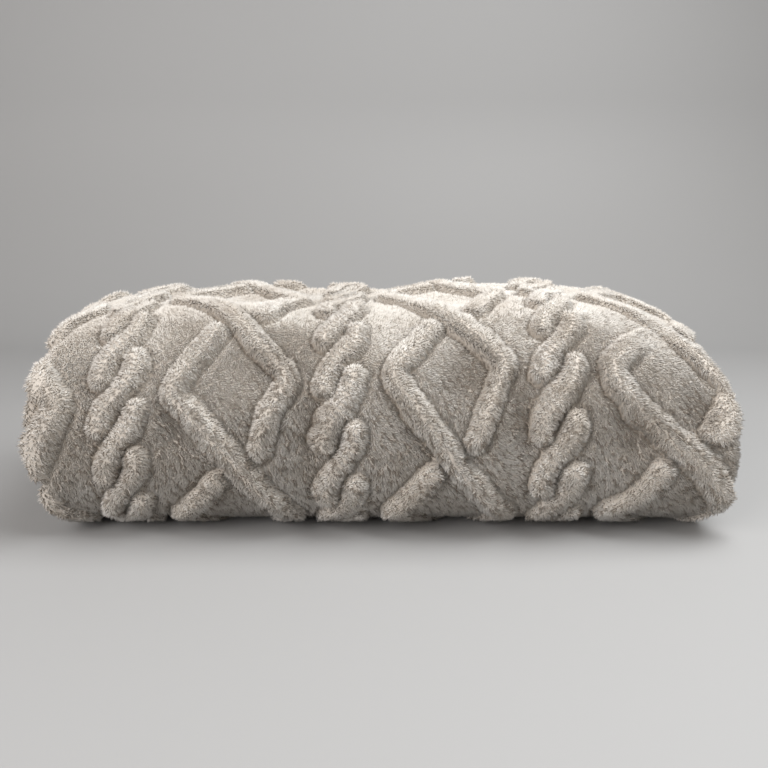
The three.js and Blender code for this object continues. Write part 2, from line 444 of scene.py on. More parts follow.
    @staticmethod
    def closest(ways: list[Array], margins: list[float]) -> tuple[Array, Array]:
        """The least of the lengths of some ways less their margins, and the way it belongs to.

        Args:
            ways: Ways to the same places from different lines.
            margins: A margin for each line.

        Returns:
            The least lengths, and their ways.
        """
        gaps = np.stack([np.linalg.norm(way, axis=-1) - margin for way, margin in zip(ways, margins)])
        first = gaps.argmin(0)[None]
        way = np.take_along_axis(np.stack(ways), first[..., None], 0)[0]
        return np.take_along_axis(gaps, first, 0)[0], way

    def column(self, across: Array, down: Array, spacing: float, line: Array) -> Array:
        """Way from the nearest of a column of like lines, the three nearest being tried.

        Args:
            across: Places across the column.
            down: Places down the column.
            spacing: Distance from one line to the next.
            line: One line's points.

        Returns:
            Ways, across and down.
        """
        nearest = np.round(down / spacing)
        steps = (-1, 0, 1)
        ways = [self.way_from(across, down - (nearest + step) * spacing, line) for step in steps]
        return self.closest(ways, [0.0] * len(steps))[1]

    def edge(self, x: Array, down: Array) -> tuple[Array, Array]:
        """Distance to the nearest bean's or ridge's edge, negative inside, a little uneven.

        Args:
            x: Places along the bundle.
            down: Places round the outside.

        Returns:
            Distances in the cloth, and directions away from the middle of the bean or ridge.
        """
        x = rippled(self.drift_x, x, down, x)
        down = rippled(self.drift_down, x, down, down)
        bean, ridge = self.bean_line(), self.ridge_line()
        beans = [
            self.column(x - cable.centre, down - cable.start, cable.spacing, bean)
            for cable in self.cables
        ]
        ridges = [
            self.column(x - column.centre, down - column.shift, self.ridge_spacing, ridge)
            for column in self.diamonds
        ]
        margins = [self.bean_half_width] * len(beans) + [self.ridge_half_width] * len(ridges)
        edge, way = self.closest([*beans, *ridges], margins)
        return edge + rippled(self.uneven_edge, x, down), unit(way)

    def at(self, x: Array, down: Array) -> tuple[Array, Array, Array]:
        """The pattern at each place.

        Args:
            x: Places along the bundle.
            down: Places round the outside.

        Returns:
            Height over the ground, depth in a groove from 0 to 1, which weights the painted shade in the
            furrow, and direction away from the ridge.
        """
        edge, outward = self.edge(x, down)
        steepness = self.steepness(outward)
        uneven = 1.0 + self.uneven_height.at(x, down)
        # The groove's depth weights the painted shade in the furrow and shortens the tufts there; it is
        # darkest on the steep lower-left side.
        groove = self.groove(edge) * (self.soft_groove + (1.0 - self.soft_groove) * steepness)
        return self.crown(edge, steepness) * uneven, groove, outward


@dataclass(frozen=True)
class Settling:
    """How the bundle settles at one place along it.

    Attributes:
        x: Place along the bundle.
        height: Height at the front, as a share of the unsettled height.
        rise: How much that share grows for each metre to the back.
        lean: Shift to the back for each metre up.
        swell: Bulge along the bundle.
        crest: Where the bulge is greatest, as a share of the height.
    """

    x: float
    height: float
    rise: float
    lean: float
    swell: float
    crest: float


@dataclass(frozen=True)
class Spot:
    """A soft round place on the outside of the cloth.

    Attributes:
        x: Place of its middle along the bundle.
        down: Place of its middle round the outside.
        wide: Its reach along the bundle.
        long: Its reach down the cloth.
    """

    x: float
    down: float
    wide: float
    long: float

    def bell(self, x: Array, down: Array) -> Array:
        """How near each place is to the middle: exp(-(dx / wide)^2 - (dd / long)^2).

        Args:
            x: Places along the bundle.
            down: Places round the outside.

        Returns:
            1 at the middle, falling to 0.
        """
        return np.exp(-(((x - self.x) / self.wide) ** 2 + ((down - self.down) / self.long) ** 2))


@dataclass(frozen=True)
class Pull(Spot):
    """A spot where the cloth is pulled.

    Attributes:
        shift_x: How far the pattern shifts along the bundle.
        shift_down: How far it shifts down the cloth.
    """

    shift_x: float
    shift_down: float


@dataclass(frozen=True)
class Dent(Spot):
    """A spot where the outermost layer is hollow or bulges.

    Attributes:
        depth: How far it lies in, negative where it bulges.
    """

    depth: float


@dataclass
class FoldedCloth:
    """The folded throw: section, roll, pattern and the mesh that joins them.

    Attributes:
        length: Length of the flat cloth, folded in thirds by the section.
        width: Width of the flat cloth, taken up by the roll.
        thickness: Thickness of the cloth.
        pitch: Distance from one layer to the next.
        bundle_length: Length of the folded strip.
        lower_radius: Outer radius of the lower front bend.
        upper_radius: Outer radius of the upper front bend.
        top_flat: Length of the top's straight run.
        bottom_flat: Length of the underside's straight run.
        upper_tail: Length of the roll's outer tail.
        pressed: How far the ground lies in where a face is pressed, with the ridges filling it.
        pile_depth: How far the ground lies in, for the pile to stand on it.
        top_press: Share of the pattern's height that the top has lost.
        press_from: How far up, from the start of the upper front bend, the loss starts.
        press_to: Where it is whole.
        fade: Length on which the pattern fades at the ends of the outer strip.
        wrap_from: Cosine of the section's heading where the pattern starts on a turn.
        wrap_to: Cosine where it is whole.
        under_from: Downward part of a face's normal where it starts to be pressed.
        under_to: Downward part where it is fully pressed.
        outer_spacings: Spacing of the outer face's columns on each leg of the section.
        inner_spacings: The same for the inner face.
        row_spacings: Spacing of both faces' rows on each leg of the roll.
        pattern: The raised pattern.
        uneven: Ripples of the outermost layer's depth.
        swell_reach: Reach of the swelled ends, as a share of the height.
        settling: How the bundle settles, by place along it.
        pulls: Pulls on the cloth.
        worn: The spot where the pattern is pressed flat.
        dents: Soft hollows and bulges.
        shift: Where the bundle is moved to, once it is set over the solid.
    """

    length: float = 1.70
    width: float = 1.30
    thickness: float = 0.0096
    pitch: float = 0.0106
    bundle_length: float = 0.583
    lower_radius: float = 0.079
    upper_radius: float = 0.090
    top_flat: float = 0.113
    bottom_flat: float = 0.118
    upper_tail: float = 0.102
    pressed: float = 0.004
    pile_depth: float = 0.0024
    top_press: float = 0.2
    press_from: float = -0.03
    press_to: float = 0.10
    fade: float = 0.010
    wrap_from: float = -0.2
    wrap_to: float = 0.4
    under_from: float = 0.55
    under_to: float = 0.98
    outer_spacings: tuple[float, ...] = (0.028, 0.0018, 0.0028, 0.0022, 0.028)
    inner_spacings: tuple[float, ...] = (0.028, 0.003, 0.028, 0.005, 0.028)
    row_spacings: tuple[float, ...] = (
        *(0.016, 0.0042, 0.006, 0.0028, 0.0028, 0.0028, 0.0028, 0.0022),
        *(0.016, 0.008, 0.016, 0.007, 0.016, 0.007, 0.016),
    )
    pattern: RaisedPattern = field(default_factory=RaisedPattern)
    uneven: tuple[Ripple, ...] = (Ripple(21, 0.012, 0.0005), Ripple(22, 0.045, 0.0017))
    swell_reach: float = 0.36
    settling: tuple[Settling, ...] = (
        Settling(-0.291, 0.945, 0.16, 0.060, -0.012, 0.60),
        Settling(-0.225, 1.0, 0.16, 0.040, 0.0, 0.60),
        Settling(0.0, 1.0, 0.22, 0.036, 0.0, 0.50),
        Settling(0.215, 0.985, 0.24, 0.045, 0.0, 0.45),
        Settling(0.291, 0.865, 0.20, 0.090, 0.018, 0.45),
    )
    pulls: tuple[Pull, ...] = (
        Pull(-0.185, -0.040, 0.035, 0.050, 0.0, 0.006),
        Pull(-0.090, -0.020, 0.045, 0.060, -0.006, -0.010),
        Pull(-0.190, -0.175, 0.050, 0.050, -0.014, 0.0),
        Pull(0.110, -0.040, 0.045, 0.060, -0.005, -0.008),
        Pull(0.010, -0.185, 0.050, 0.050, -0.007, -0.020),
        Pull(0.275, 0.000, 0.035, 0.045, 0.0, -0.018),
        Pull(0.215, 0.055, 0.040, 0.035, 0.009, 0.0),
    )
    worn: Spot = Spot(0.232, -0.095, 0.022, 0.026)
    dents: tuple[Dent, ...] = (
        Dent(-0.297, -0.018, 0.018, 0.030, -0.0065),
        Dent(-0.165, 0.060, 0.060, 0.035, 0.0030),
        Dent(-0.270, 0.085, 0.030, 0.040, -0.0025),
        Dent(0.010, -0.120, 0.080, 0.050, 0.0020),
        Dent(0.110, 0.030, 0.050, 0.060, -0.0020),
        Dent(0.235, 0.075, 0.050, 0.035, 0.0030),
        Dent(-0.090, -0.200, 0.090, 0.040, 0.0025),
        Dent(0.121, -0.014, 0.015, 0.050, 0.0065),
        Dent(0.185, -0.055, 0.014, 0.024, 0.0050),
        Dent(0.216, -0.003, 0.018, 0.026, 0.0050),
        Dent(0.264, -0.030, 0.017, 0.028, 0.0065),
        Dent(0.072, -0.048, 0.024, 0.028, 0.0050),
        Dent(-0.094, -0.062, 0.022, 0.022, 0.0035),
        Dent(-0.184, 0.000, 0.016, 0.024, 0.0045),
        Dent(-0.065, 0.010, 0.016, 0.045, 0.0045),
        Dent(-0.283, 0.030, 0.012, 0.030, -0.0030),
        Dent(0.232, -0.078, 0.030, 0.018, -0.0030),
    )
    shift: Array = field(default_factory=lambda: np.zeros(3))

    def __post_init__(self) -> None:
        """Works out the layers, the section and the roll, and where the places round it count from."""
        self.half_cloth = self.thickness / 2
        self.half_strip = STRIP_LAYERS / 2 * self.pitch
        self.pack = PACK_STRIPS * 2 * self.half_strip
        self.full_height = ROLLED_PACKS * self.pack
        self.left_radius, self.right_radius = self.pitch / 2, self.pitch
        self.left_end = -self.bundle_length / 2 + self.left_radius + self.half_cloth
        self.right_end = self.bundle_length / 2 - self.right_radius - self.half_cloth
        self.section = self._section()
        self.roll = self._roll()
        self.zero = self._outside(self.roll.ends[RollLeg.UPPER_FRONT])

    def _section(self) -> Line:
        """The cloth folded in thirds: the legs of SectionLeg.

        Returns:
            The line, x to the right and the strip's layers up.
        """
        shown = self.right_end - self.left_end
        third = (self.length - shown - HALF_TURN * (self.left_radius + self.right_radius)) / 2
        return Line((self.left_end + third, 0.0), HALF_TURN, [
            Leg(third),
            Leg.bend(-HALF_TURN, self.left_radius),
            Leg(shown),
            Leg.bend(-HALF_TURN, self.right_radius),
            Leg(third),
        ])

    def _roll(self) -> Line:
        """The doubled strip rolled over twice: the legs of RollLeg.

        Returns:
            The line, y to the back and z up.
        """
        half = self.half_strip
        back = self.pack - half
        lower, upper = self.lower_radius - half, self.upper_radius - half
        rise = self.full_height - self.lower_radius - self.upper_radius
        outer = [
            Leg(self.upper_tail),
            Leg.bend(-HALF_TURN, back),
            Leg(self.bottom_flat),
            Leg.bend(-QUARTER_TURN, lower),
            Leg(rise),
            Leg.bend(-QUARTER_TURN, upper),
            Leg(self.top_flat),
            Leg.bend(-HALF_TURN, half),
        ]
        inner = [
            Leg(self.top_flat),
            Leg.bend(QUARTER_TURN, upper - 2 * half),
            Leg(rise),
            Leg.bend(QUARTER_TURN, lower - 2 * half),
            Leg(self.bottom_flat),
            Leg.bend(HALF_TURN, half),
        ]
        used = sum(leg.length for leg in outer + inner)
        start = (self.lower_radius + self.bottom_flat - self.upper_tail, 2 * self.pack - half)
        return Line(start, 0.0, [*outer, *inner, Leg(self.width - used)])

    def _outside(self, v: Array) -> Array:
        """Length round the outside of the strip: v less half the strip's thickness times the heading."""
        angle = self.roll.at(np.asarray(v, float))[1]
        return v - angle * self.half_strip

    def down(self, v: Array) -> Array:
        """Place round the outside at a length along the roll."""
        return self.zero - self._outside(v)

    def settled(self, points: Array) -> Array:
        """Points after settling, by smooth curves through the table's rows.

        Each height is multiplied by height + rise * y, y grows by lean * z, and x by swell times a bell
        round the crest.

        Args:
            points: Points of the bundle before it settles.

        Returns:
            The settled points.
        """
        names = ("x", "height", "rise", "lean", "swell", "crest")
        rows = {name: np.array([getattr(row, name) for row in self.settling]) for name in names}
        x, y, z = points[..., 0], points[..., 1], points[..., 2]
        place = np.clip(x, rows["x"][0], rows["x"][-1])
        curves = (curve_through(rows["x"], rows[name], place) for name in names[1:])
        height, rise, lean, swell, crest = curves
        away = (z / self.full_height - crest) / self.swell_reach
        bulge = swell * np.exp(-away * away)
        return np.stack([x + bulge, y + z * lean, np.maximum(z * (height + rise * y), 0.0)], -1)

    def free_place(self, x: Array, down: Array) -> tuple[Array, Array]:
        """Places in the free pattern: each pull takes off its shift times its bell.

        Args:
            x: Places along the bundle.
            down: Places round the outside.

        Returns:
            The same two places before the pulls.
        """
        bells = [(pull, pull.bell(x, down)) for pull in self.pulls]
        return (
            x - sum(pull.shift_x * bell for pull, bell in bells),
            down - sum(pull.shift_down * bell for pull, bell in bells),
        )

    def flat_x(self, u: Array) -> Array:
        """Place along the outer face laid flat: it runs on round both turns."""
        heading = self.section.at(u)[1]
        return self.left_end + u - self.section.ends[SectionLeg.SHOWN_THIRD] - heading * self.half_cloth

    def relief(self, x: Array, down: Array) -> tuple[Array, Array, Array]:
        """The pattern on the pulled cloth, flatter on the top and gone where it is worn.

        Args:
            x: Places along the bundle.
            down: Places round the outside.

        Returns:
            Height, depth in a groove, and direction away from the nearest bean or ridge.
        """
        x, down = self.free_place(x, down)
        height, groove, outward = self.pattern.at(x, down)
        kept = 1.0 - self.worn.bell(x, down)
        pressed = self.top_press * smooth_step(-down, self.press_from, self.press_to)
        return height * kept * (1.0 - pressed), groove * kept, outward

    def share(self, u: Array, v: Array) -> tuple[Array, Array]:
        """How open the outside is at each place.

        Args:
            u: Lengths along the section.
            v: Lengths along the roll.

        Returns:
            1 on the outermost face of the outer strip, else 0, and 1 where nothing presses on it.
        """
        section, roll = self.section.ends, self.roll.ends
        start, end = roll[RollLeg.BACK_TURN], roll[RollLeg.INNER_TOP]
        outer = smooth_step(v, start, start + self.fade) * (1.0 - smooth_step(v, end - self.fade, end))
        shown = (u > section[SectionLeg.LEFT_TURN]) & (u < section[SectionLeg.LAST_THIRD])
        wraps = smooth_step(np.sin(self.section.at(u)[1] + QUARTER_TURN), self.wrap_from, self.wrap_to)
        facing_down = -np.sin(self.roll.at(v)[1] + QUARTER_TURN)
        return outer * shown * wraps, 1.0 - smooth_step(facing_down, self.under_from, self.under_to)

    def dented(self, x: Array, down: Array) -> Array:
        """How far the outermost layer lies in: its ripples, and each dent's depth times its bell.

        Args:
            x: Places along the bundle.
            down: Places round the outside.

        Returns:
            Depths, negative where the layer bulges.
        """
        depth = rippled(self.uneven, x, down)
        return sum((dent.depth * dent.bell(x, down) for dent in self.dents), depth)

    def points(self, u: Array, v: Array, side: Side) -> Array:
        """Points of a face of the folded cloth.

        The section's point and offset give x and the place across the strip. The strip's place is
        laid off from the roll, and the result settles.

        Args:
            u: Lengths along the section.
            v: Lengths along the roll, of the same shape.
            side: The face.

        Returns:
            Points, three numbers each.
        """
        place, heading = self.section.at(u)
        offset = side.value * self.half_cloth
        if side is Side.OUTER:
            flat, down = self.flat_x(u), self.down(v)
            shown, open_air = self.share(u, v)
            height = self.relief(flat, down)[0]
            pressed = np.minimum(height, self.pressed) - self.pressed
            raised = open_air * height + (1.0 - open_air) * pressed
            sunk = self.pile_depth + self.dented(flat, down)
            offset = offset + shown * (raised - sunk * open_air)
        across = heading + QUARTER_TURN
        x = place[..., 0] + np.cos(across) * offset
        layer = place[..., 1] + np.sin(across) * offset
        spot, bearing = self.roll.at(v)
        out = bearing + QUARTER_TURN
        gap = (self.pitch - self.thickness) / 2
        y = spot[..., 0] + np.cos(out) * layer
        z = spot[..., 1] + np.sin(out) * layer - gap
        return self.settled(np.stack([x, y, z], -1)) + self.shift

    def painted_groove_shade(self, u: Array, v: Array) -> Array:
        """How deep in a groove each place of the outer face lies, which weights the sheet's painted
        shade in the furrows.

        Args:
            u: Lengths along the section.
            v: Lengths along the roll, of the same shape.

        Returns:
            Depths from 0 to 1, and 0 where nothing shows.
        """
        shown, open_air = self.share(u, v)
        return self.relief(self.flat_x(u), self.down(v))[1] * shown * open_air

    def mesh(self) -> tuple[Array, Array, Array]:
        """The whole cloth as one closed surface.

        A grid for each face shares its rows. The long hems join the two grids' first and last
        columns, and the short hems are zipped between their first and last rows.

        Returns:
            Vertices, triangles and each vertex's painted shade in the furrows.
        """
        us = {
            Side.OUTER: self.section.stops(self.outer_spacings),
            Side.INNER: self.section.stops(self.inner_spacings),
        }
        vs = self.roll.stops(self.row_spacings)
        grids = [self.points(*np.meshgrid(us[side], vs), side) for side in Side]
        starts = [0, grids[0].shape[0] * grids[0].shape[1]]
        ids = [
            start + np.arange(grid.shape[0] * grid.shape[1]).reshape(grid.shape[:2])
            for start, grid in zip(starts, grids)
        ]
        outer, inner = ids
        faces = [
            quads(outer),
            quads(inner)[:, ::-1],
            quads(np.stack([inner[:, 0], outer[:, 0]], -1)),
            quads(np.stack([outer[:, -1], inner[:, -1]], -1)),
            zipped(outer[0], inner[0], us[Side.OUTER], us[Side.INNER])[:, ::-1],
            zipped(outer[-1], inner[-1], us[Side.OUTER], us[Side.INNER]),
        ]
        vertices = np.concatenate([grid.reshape(-1, 3) for grid in grids])
        # Painted shade in the furrows, on the outer face only.
        groove = np.zeros(len(vertices))
        groove[: starts[1]] = self.painted_groove_shade(*np.meshgrid(us[Side.OUTER], vs)).ravel()
        return vertices, np.concatenate(faces), groove


def curve_through(xs: Array, ys: Array, x: Array) -> Array:
    """Smooth curve through rows of a table: a cubic between two rows, with slopes from their neighbours.

    Args:
        xs: Rising places of the rows.
        ys: Values of the rows.
        x: Where the curve is wanted.

    Returns:
        The curve's values.
    """
    slopes = np.gradient(ys, xs)
    i = np.clip(np.searchsorted(xs, x, "right") - 1, 0, len(xs) - 2)
    gap = xs[i + 1] - xs[i]
    t = (x - xs[i]) / gap
    rise = t * t * (3 - 2 * t)
    start = t * (1 - t) ** 2
    end = t * t * (t - 1)
    return ys[i] * (1 - rise) + ys[i + 1] * rise + gap * (start * slopes[i] + end * slopes[i + 1])


def quads(ids: Array) -> Array:
    """Two triangles for each cell of a grid, facing the same way.

    Args:
        ids: The grid's vertex numbers.

    Returns:
        Triangles, three vertex numbers each.
    """
    a, b, c, d = ids[:-1, :-1], ids[:-1, 1:], ids[1:, 1:], ids[1:, :-1]
    cells = np.stack([np.stack([a, b, c], -1), np.stack([a, c, d], -1)], 2)
    return cells.reshape(-1, 3)


def zipped(a: Array, b: Array, at_a: Array, at_b: Array) -> Array:
    """Triangles between two rows with different numbers of vertices.

    Walking both rows together, each step of one row makes a triangle with the other row's vertex
    that has been reached by then.

    Args:
        a: Vertex numbers of one row.
        b: Vertex numbers of the other.
        at_a: Rising places of the first row's vertices.
        at_b: Rising places of the second row's vertices.

    Returns:
        Triangles, facing the same way.
    """
    reached_b = np.searchsorted(at_b[1:], at_a[1:], "left")
    reached_a = np.searchsorted(at_a[1:], at_b[1:], "right")
    from_a = np.stack([a[:-1], a[1:], b[reached_b]], -1)
    from_b = np.stack([b[1:], b[:-1], a[reached_a]], -1)
    return np.concatenate([from_a, from_b])


def new_object(name: str, vertices: Array, triangles: Array, **marks: Array) -> bpy.types.Object:
    """A smooth-shaded mesh object at the origin.

    Args:
        name: The piece's name.
        vertices: Points, three numbers each.
        triangles: Vertex numbers, three each.
        marks: Named values to keep on the vertices.

    Returns:
        The object.
    """
    mesh = bpy.data.meshes.new(name)
    mesh.vertices.add(len(vertices))
    mesh.vertices.foreach_set("co", vertices.astype(np.float32).ravel())
    mesh.loops.add(triangles.size)
    mesh.loops.foreach_set("vertex_index", triangles.astype(np.int32).ravel())
    mesh.polygons.add(len(triangles))
    mesh.polygons.foreach_set("loop_start", np.arange(0, triangles.size, 3, dtype=np.int32))
    mesh.update(calc_edges=True)
    mesh.shade_smooth()
    for title, values in marks.items():
        mark = mesh.attributes.new(title, "FLOAT", "POINT")
        mark.data.foreach_set("value", values.astype(np.float32).ravel())
    piece = bpy.data.objects.new(name, mesh)
    bpy.context.collection.objects.link(piece)
    return piece


def plain_material(name: str) -> tuple[bpy.types.Material, bpy.types.Node]:
    """A new material.

    Args:
        name: Its name.

    Returns:
        The material and its shader.
    """
    material = bpy.data.materials.new(name)
    material.use_nodes = True
    return material, material.node_tree.nodes["Principled BSDF"]


@dataclass(frozen=True)
class Patch:
    """A part of the cloth's outer face that carries one mesh of pile.

    Attributes:
        name: Name of the piece.
        u_low: Where the part starts along the section.
        u_high: Where it ends along the section.
        v_low: Where it starts along the roll.
        v_high: Where it ends along the roll.
        spacing: Distance between tufts.
    """

    name: str
    u_low: float
    u_high: float
    v_low: float
    v_high: float
    spacing: float


@dataclass(frozen=True)
class Clumps:
    """Clumps of pile: stretched cells round seeded centres, turned to lie across the cloth.

    Attributes:
        long: Length of a cell.
        short: Its width.
        slope: Turn of the cells, in radians.
        wave: Ripple that shifts the cells.
        rim_from: Distance from a centre where the rim starts, in cells.
        rim_to: Distance where it is whole.
        seed: Seed of the centres.
        size: Cells along the grid before it repeats.
    """

    long: float = 0.0076
    short: float = 0.0039
    slope: float = 0.9
    wave: Ripple = Ripple(42, 0.009, 0.0016)
    rim_from: float = 0.40
    rim_to: float = 0.68
    seed: int = 7
    size: int = 128

    def at(self, x: Array, down: Array) -> tuple[Array, Array, Array]:
        """Way to the nearest clump's centre, nearness to its rim, and the clump's own tone.

        In the turned and shortened plane each cell has one centre at random. The nine nearest cells
        are tried, and the way is turned and stretched back.

        Args:
            x: Places along the bundle.
            down: Places round the outside.

        Returns:
            Ways along x and down, nearness from 0 at the centre to 1 at the rim, and tones from 0 to 1.
        """
        centres = np.random.default_rng(self.seed).uniform(0.0, 1.0, (self.size, self.size, 2))
        cos, sin = np.cos(self.slope), np.sin(self.slope)
        wave = self.wave.at(x, down)
        a = (x * cos + down * sin + wave) / self.long
        b = (down * cos - x * sin + wave) / self.short
        place = np.stack([a, b], -1)
        cell = np.floor(place).astype(int)
        best, way, tone = np.full(x.shape, np.inf), np.zeros(place.shape), np.zeros(x.shape)
        for i, j in np.ndindex(3, 3):
            near = cell + np.array([i - 1, j - 1])
            centre = centres[near[..., 0] % self.size, near[..., 1] % self.size]
            step = near + centre - place
            gap = (step**2).sum(-1)
            closer = gap < best
            best = np.where(closer, gap, best)
            way = np.where(closer[..., None], step, way)
            tone = np.where(closer, centre[..., 0], tone)
        along, over = way[..., 0] * self.long, way[..., 1] * self.short
        way = np.stack([along * cos - over * sin, along * sin + over * cos], -1)
        return way, smooth_step(np.sqrt(best), self.rim_from, self.rim_to), tone


@dataclass(frozen=True)
class Roots:
    """Where tufts are rooted, and what the pattern says there.

    Attributes:
        u: Lengths along the section.
        v: Lengths along the roll.
        x: Places along the bundle.
        down: Places round the outside.
        raised: Heights as a share of a ridge's height, from 0 to 1.
        groove: Depths in a groove, from 0 to 1.
        outward: Directions away from the nearest bean or ridge.
    """

    u: Array
    v: Array
    x: Array
    down: Array
    raised: Array
    groove: Array
    outward: Array


@dataclass
class Pile:
    """Short pile: pointed tufts rooted on the cloth, leaning and drawn together in clumps.

    Attributes:
        cloth: The cloth that it stands on.
        ground_length: Length of a tuft on the ground.
        ridge_length: Length of a tuft on a ridge.
        length_spread: Least and greatest share of its length that a tuft has.
        groove_cut: Share of the length that a groove takes off.
        rim_cut: Share of the length that the rim of a clump takes off.
        upright: How far a point stands off the surface, as a share of the length.
        tuft_width: Width of a foot.
        width_spread: Least and greatest share of that width.
        sunk: How deep a foot lies under the surface.
        lean: How far a point leans along the flow, as a share of the length.
        lean_spread: Least and greatest share of that lean.
        turn: Turn of the flow from along the bundle, in radians.
        turn_ripple: Ripple of that turn.
        turn_spread: Standard deviation of a tuft's own turn.
        outward_pull: How much the flow turns away from a ridge on its top.
        outward_power: How fast that grows with the height.
        drawn: Share of the way to its clump's centre that a point is drawn.
        unlike: Shade of the darkest clump.
        ground_shade: Painted shade of the ground between the ridges.
        hollow_shade: Painted shade in a soft hollow.
        hollow_depth: Depth of a hollow with all of that shade.
        open_from: Place round the outside where the clumps start to open.
        open_to: Place where they are fully open.
        closed_share: Share of the clumping where they are closed.
        table_rows: Rows of the table that spaces the tufts evenly.
        probe: Step along the cloth for the normal.
        floor_gap: Least height of a tuft.
        seed: Seed of the tufts.
        clumps: The clumps.
    """

    cloth: FoldedCloth
    ground_length: float = 0.0042
    ridge_length: float = 0.0040
    length_spread: tuple[float, float] = (0.75, 1.2)
    groove_cut: float = 0.45
    rim_cut: float = 0.35
    upright: float = 0.8
    tuft_width: float = 0.0022
    width_spread: tuple[float, float] = (0.8, 1.2)
    sunk: float = 0.0008
    lean: float = 0.72
    lean_spread: tuple[float, float] = (0.8, 1.2)
    turn: float = -0.9
    turn_ripple: Ripple = Ripple(31, 0.040, 0.9)
    turn_spread: float = 0.12
    outward_pull: float = 1.4
    outward_power: float = 1.5
    drawn: float = 0.30
    unlike: float = 0.50
    ground_shade: float = 0.26
    hollow_shade: float = 0.48
    hollow_depth: float = 0.0062
    open_from: float = -0.11
    open_to: float = 0.02
    closed_share: float = 0.45
    table_rows: int = 400
    probe: float = 0.0006
    floor_gap: float = 0.0003
    seed: int = 5
    clumps: Clumps = field(default_factory=Clumps)

    def roots(self, patch: Patch, rng: np.random.Generator) -> Roots:
        """Jittered places, evenly spaced on the cloth.

        A table of lengths round the outside turns even rows on the surface into lengths along the
        roll.

        Args:
            patch: Where they lie.
            rng: The seeded source of the jitter.

        Returns:
            The places, with what the pattern says there.
        """
        table = np.linspace(patch.v_low, patch.v_high, self.table_rows)
        steps = np.maximum(np.diff(table), -np.diff(self.cloth.down(table)))
        reach = np.concatenate([[0.0], np.cumsum(steps)])
        columns = max(1, round((patch.u_high - patch.u_low) / patch.spacing))
        rows = max(1, round(float(reach[-1]) / patch.spacing))
        i, j = np.meshgrid(np.arange(columns), np.arange(rows))
        i = (i + rng.uniform(0, 1, i.shape)).ravel() / columns
        j = (j + rng.uniform(0, 1, j.shape)).ravel() / rows
        u = patch.u_low + i * (patch.u_high - patch.u_low)
        v = np.interp(j * reach[-1], reach, table)
        x, down = self.cloth.flat_x(u), self.cloth.down(v)
        height, groove, outward = self.cloth.relief(x, down)
        raised = np.clip(height / self.cloth.pattern.height, 0.0, 1.0)
        return Roots(u, v, x, down, raised, groove, outward)

    def frames(self, roots: Roots) -> tuple[Array, Array, Array, Array]:
        """Where the roots are in space and how the surface lies there, from points a step away.

        Args:
            roots: The roots.

        Returns:
            Points, normals, directions in the surface along the bundle, and directions up the cloth.
        """
        cloth, step, u, v = self.cloth, self.probe, roots.u, roots.v
        here = cloth.points(u, v, Side.OUTER)
        right = cloth.points(u + step, v, Side.OUTER) - cloth.points(u - step, v, Side.OUTER)
        up = cloth.points(u, v + step, Side.OUTER) - cloth.points(u, v - step, Side.OUTER)
        normal = unit(np.cross(right, up))
        right = unit(right)
        return here, normal, right, np.cross(normal, right)

    def lengths(self, roots: Roots, rng: np.random.Generator) -> Array:
        """Length of each tuft: from the ground's to the ridge's, shorter in a groove, and uneven.

        Args:
            roots: The roots.
            rng: The seeded source of the unevenness.

        Returns:
            The lengths, before the rims of the clumps are cut.
        """
        length = self.ground_length + (self.ridge_length - self.ground_length) * roots.raised
        spread = rng.uniform(*self.length_spread, len(roots.u))
        return length * (1.0 - self.groove_cut * roots.groove) * spread

    def flow(self, roots: Roots, rng: np.random.Generator) -> Array:
        """Direction in which each tuft leans.

        The turn is a slow ripple with a little spread. To its direction comes the direction away
        from the ridge, times outward_pull * raised^outward_power.

        Args:
            roots: The roots.
            rng: The seeded source of the spread.

        Returns:
            Directions along x and down.
        """
        spread = rng.normal(0.0, self.turn_spread, len(roots.u))
        turn = self.turn + self.turn_ripple.at(roots.x, roots.down) + spread
        flow = np.stack([np.cos(turn), -np.sin(turn)], -1)
        away = self.outward_pull * roots.raised[:, None] ** self.outward_power * roots.outward
        return unit(flow + away)

    def shade(self, roots: Roots, opened: Array, rim: Array, tone: Array) -> Array:
        """How dark each tuft is: the greatest of painted shade in a groove, at a clump's rim and on the
        ground, and the clump's own tone, plus painted shade in a hollow.

        Args:
            roots: The roots.
            opened: How open the clumps are.
            rim: Nearness to a clump's rim.
            tone: Tone of the clump.

        Returns:
            Shades from 0 to 1.
        """
        # Painted shade in the soft hollows, growing with their depth.
        hollow = smooth_step(self.cloth.dented(roots.x, roots.down), 0.0, self.hollow_depth)
        # Painted shade in a groove, in the partings at a clump's rim and on the ground between the
        # ridges, more where the clumps are open. The tone is the clump's own random colour.
        shades = (
            roots.groove,
            opened * rim,
            self.unlike * opened * tone,
            self.ground_shade * opened * (1 - roots.raised),
        )
        return np.minimum(np.maximum.reduce(shades) + self.hollow_shade * hollow, 1.0)

